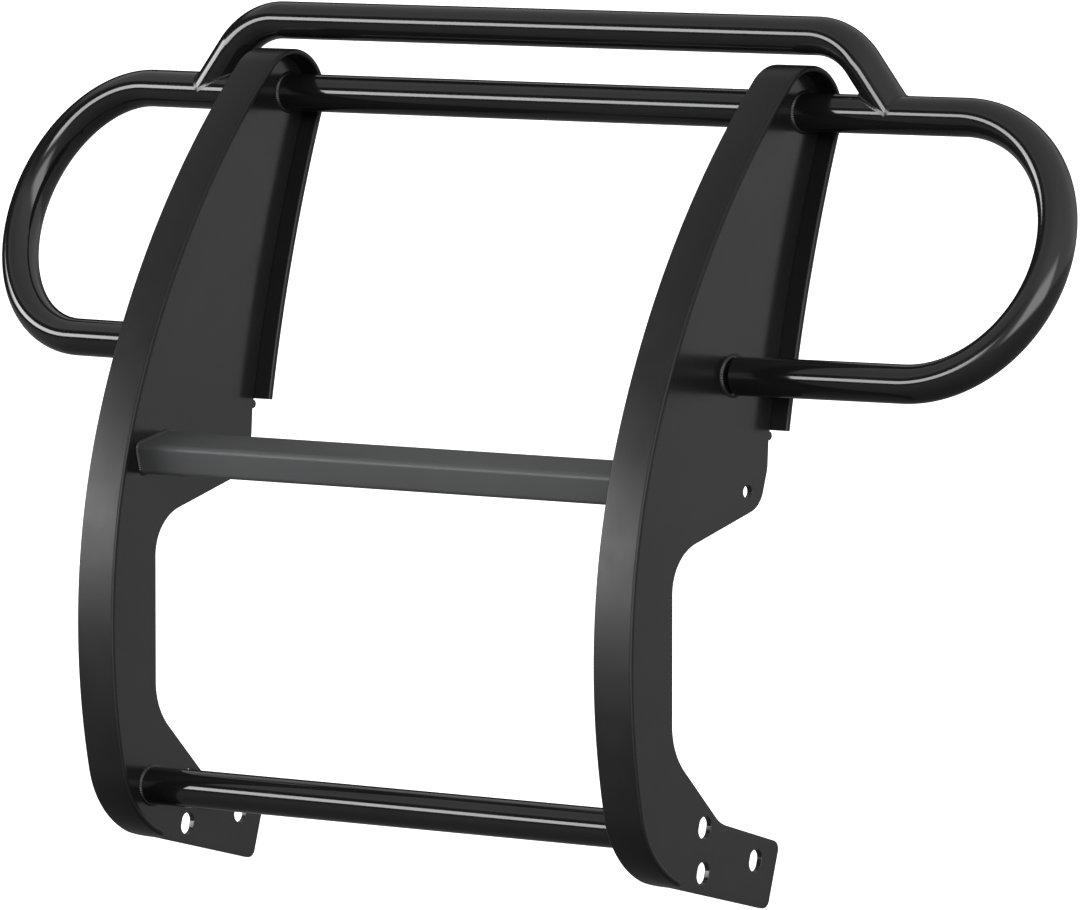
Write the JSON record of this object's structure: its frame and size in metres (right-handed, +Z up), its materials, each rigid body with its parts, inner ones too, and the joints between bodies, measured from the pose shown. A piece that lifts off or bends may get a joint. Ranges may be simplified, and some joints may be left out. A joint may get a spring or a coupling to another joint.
{
  "type": "front grille guard",
  "caption": "Welded front grille guard for a pickup truck: curved side plates with flat-bar rims, crossbars, top hoop and headlight loops.",
  "frame": {"origin": "under the middle of the guard's box, on the level of its lowest point", "axes": "+X to the right seen from in front, +Y back towards the truck's grille, +Z up"},
  "size_m": [1.3816, 0.3182, 0.865],
  "materials": {
    "plate_coat": "semi-gloss black powder coat",
    "strip_coat": "semi-gloss black powder coat",
    "tube_coat": "semi-gloss black powder coat",
    "weld_coat": "semi-gloss black powder coat over the weld bead"
  },
  "bodies": {
    "root": {"upper_crossbar": "tube_coat", "lower_crossbar": "tube_coat", "center_bar": "tube_coat", "top_hoop": "tube_coat", "left_side_plate": "plate_coat", "left_rim_strip": "strip_coat", "left_headlight_loop": "tube_coat", "left_upper_crossbar_weld": "weld_coat", "left_lower_crossbar_weld": "weld_coat", "left_loop_top_weld": "weld_coat", "left_loop_bottom_weld": "weld_coat", "left_center_bar_weld": "weld_coat", "left_hoop_weld": "weld_coat", "right_side_plate": "plate_coat", "right_rim_strip": "strip_coat", "right_headlight_loop": "tube_coat", "right_upper_crossbar_weld": "weld_coat", "right_lower_crossbar_weld": "weld_coat", "right_loop_top_weld": "weld_coat", "right_loop_bottom_weld": "weld_coat", "right_center_bar_weld": "weld_coat", "right_hoop_weld": "weld_coat"}
  },
  "joints": []
}
